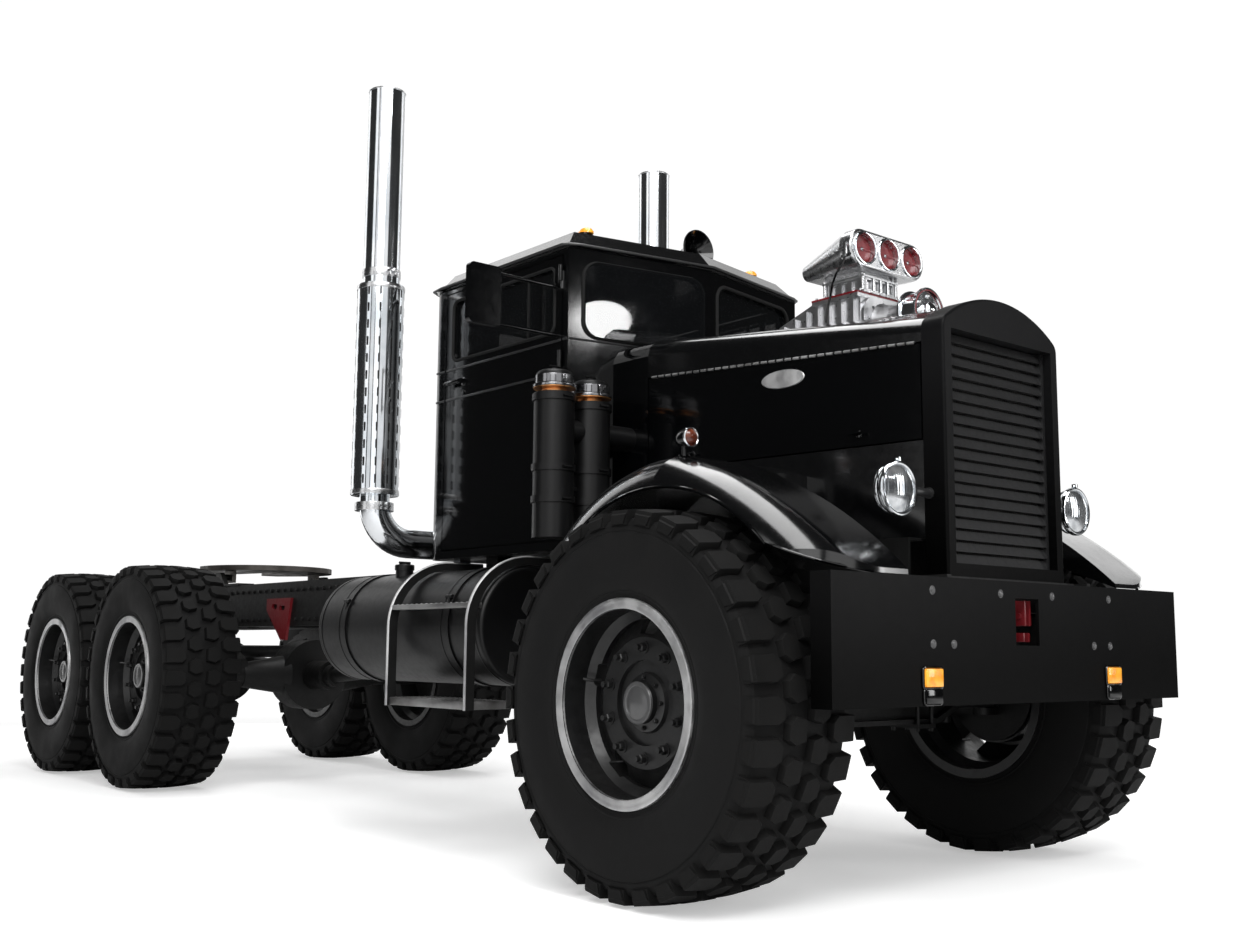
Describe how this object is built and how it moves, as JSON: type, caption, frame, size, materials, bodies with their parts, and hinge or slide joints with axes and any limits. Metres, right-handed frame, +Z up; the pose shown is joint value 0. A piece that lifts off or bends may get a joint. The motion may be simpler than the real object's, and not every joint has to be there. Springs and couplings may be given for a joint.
{
  "type": "truck tractor unit",
  "caption": "Long-nosed road tractor with a split-screen cab, supercharged engine, upright stacks, bare rear frame and a coupling plate.",
  "frame": {"origin": "on the ground under the middle of the overall box, midway between the front and rear ends", "axes": "+Z up, +Y towards the rear of the truck, +X towards its left side"},
  "size_m": [2.4402, 7.511, 3.6548],
  "materials": {
    "tyre_rubber": "matt black rubber",
    "wheel_steel": "satin black enamel with a bare rim edge",
    "chassis_black": "satin black chassis paint",
    "coupling_steel": "greased bare steel",
    "body_black": "deep gloss black",
    "red_paint": "red enamel",
    "bright_chrome": "polished chrome",
    "polished_alloy": "polished cast alloy",
    "amber_lens": "amber lens",
    "window_glass": "dark tinted glass",
    "step_steel": "worn bare steel",
    "cab_plastic": "black trim",
    "seat_cloth": "dark grey cloth"
  },
  "bodies": {
    "chassis": {"frame": "chassis_black", "front_axle": "chassis_black", "front_springs": "chassis_black", "rear_axles": "chassis_black", "rear_suspension": "chassis_black", "gearbox": "chassis_black", "driveshafts": "chassis_black", "engine": "chassis_black", "radiator_core": "chassis_black", "fifth_wheel_base": "chassis_black", "bumper": "body_black", "radiator_shell": "body_black", "grille": "body_black", "hood_top": "body_black", "front_fenders": "body_black", "cab_body": "body_black", "cab_roof": "body_black", "fuel_tanks": "body_black", "air_cleaners": "body_black", "roof_horn": "body_black", "headlamps": "body_black", "torque_brackets": "red_paint", "scoop_flaps": "red_paint", "exhaust_stacks": "bright_chrome", "blower_pulley": "bright_chrome", "blower": "polished_alloy", "scoop_adapter": "polished_alloy", "air_scoop": "polished_alloy", "marker_lamps": "amber_lens", "cab_glass": "window_glass", "tank_steps": "step_steel", "dashboard": "cab_plastic", "seat_frames": "cab_plastic", "seat_cushions": "seat_cloth"},
    "knuckle_l": {"knuckle_left": "chassis_black"},
    "knuckle_r": {"knuckle_right": "chassis_black"},
    "track_rod": {"tie_rod": "chassis_black"},
    "wheel_fl": {"tyre_front_left": "tyre_rubber", "wheel_front_left": "wheel_steel"},
    "wheel_fr": {"tyre_front_right": "tyre_rubber", "wheel_front_right": "wheel_steel"},
    "wheel_ml": {"tyre_middle_left": "tyre_rubber", "wheel_middle_left": "wheel_steel"},
    "wheel_mr": {"tyre_middle_right": "tyre_rubber", "wheel_middle_right": "wheel_steel"},
    "wheel_rl": {"tyre_rear_left": "tyre_rubber", "wheel_rear_left": "wheel_steel"},
    "wheel_rr": {"tyre_rear_right": "tyre_rubber", "wheel_rear_right": "wheel_steel"},
    "door_l": {"door_left": "body_black", "door_glass_left": "window_glass"},
    "door_r": {"door_right": "body_black", "door_glass_right": "window_glass"},
    "hood_side_l": {"hood_panel_left": "body_black"},
    "hood_side_r": {"hood_panel_right": "body_black"},
    "coupling_plate": {"fifth_wheel_plate": "coupling_steel"},
    "steering_wheel_body": {"steering_wheel": "cab_plastic"}
  },
  "joints": [
    {"name": "steer_left", "type": "hinge", "parent": "chassis", "child": "knuckle_l", "pos_m": [0.88, -2.9285, 0.674], "axis": [0, 0, 1], "range_deg": [-30, 30]},
    {"name": "steer_right", "type": "hinge", "parent": "chassis", "child": "knuckle_r", "pos_m": [-0.88, -2.9285, 0.674], "axis": [0, 0, 1], "range_deg": [-30, 30]},
    {"name": "track_rod_pivot", "type": "hinge", "parent": "knuckle_l", "child": "track_rod", "pos_m": [0.88, -2.7285, 0.58], "axis": [0, 0, 1], "range_deg": [-30, 30]},
    {"name": "steering_wheel_turn", "type": "hinge", "parent": "chassis", "child": "steering_wheel_body", "pos_m": [0.34, -1.5585, 2.01], "axis": [0, 0.6428, 0.766], "range_deg": [-540, 540]},
    {"name": "wheel_front_left_spin", "type": "hinge", "parent": "knuckle_l", "child": "wheel_fl", "pos_m": [0.985, -2.9285, 0.674], "axis": [1, 0, 0], "continuous": true},
    {"name": "wheel_front_right_spin", "type": "hinge", "parent": "knuckle_r", "child": "wheel_fr", "pos_m": [-0.985, -2.9285, 0.674], "axis": [1, 0, 0], "continuous": true},
    {"name": "wheel_middle_left_spin", "type": "hinge", "parent": "chassis", "child": "wheel_ml", "pos_m": [0.985, 1.7035, 0.674], "axis": [1, 0, 0], "continuous": true},
    {"name": "wheel_middle_right_spin", "type": "hinge", "parent": "chassis", "child": "wheel_mr", "pos_m": [-0.985, 1.7035, 0.674], "axis": [1, 0, 0], "continuous": true},
    {"name": "wheel_rear_left_spin", "type": "hinge", "parent": "chassis", "child": "wheel_rl", "pos_m": [0.985, 3.0815, 0.674], "axis": [1, 0, 0], "continuous": true},
    {"name": "wheel_rear_right_spin", "type": "hinge", "parent": "chassis", "child": "wheel_rr", "pos_m": [-0.985, 3.0815, 0.674], "axis": [1, 0, 0], "continuous": true},
    {"name": "door_left_hinge", "type": "hinge", "parent": "chassis", "child": "door_l", "pos_m": [0.733, -1.9475, 1.9], "axis": [0, 0, -1], "range_deg": [0, 68]},
    {"name": "door_right_hinge", "type": "hinge", "parent": "chassis", "child": "door_r", "pos_m": [-0.733, -1.9475, 1.9], "axis": [0, 0, 1], "range_deg": [0, 68]},
    {"name": "hood_side_left_hinge", "type": "hinge", "parent": "chassis", "child": "hood_side_l", "pos_m": [0.36597, -3.57913, 1.948], "axis": [-0.1058, -0.9937, -0.0363], "range_deg": [0, 90]},
    {"name": "hood_side_right_hinge", "type": "hinge", "parent": "chassis", "child": "hood_side_r", "pos_m": [-0.36597, -3.57913, 1.948], "axis": [-0.1058, 0.9937, 0.0363], "range_deg": [0, 90]},
    {"name": "coupling_tilt", "type": "hinge", "parent": "chassis", "child": "coupling_plate", "pos_m": [0, 2.2815, 1.318], "axis": [1, 0, 0], "range_deg": [-12, 12]}
  ],
  "couplings": [
    {"joint": "steer_right", "follows": "steer_left", "ratio": 1},
    {"joint": "track_rod_pivot", "follows": "steer_left", "ratio": -1},
    {"joint": "steering_wheel_turn", "follows": "steer_left", "ratio": 16}
  ]
}
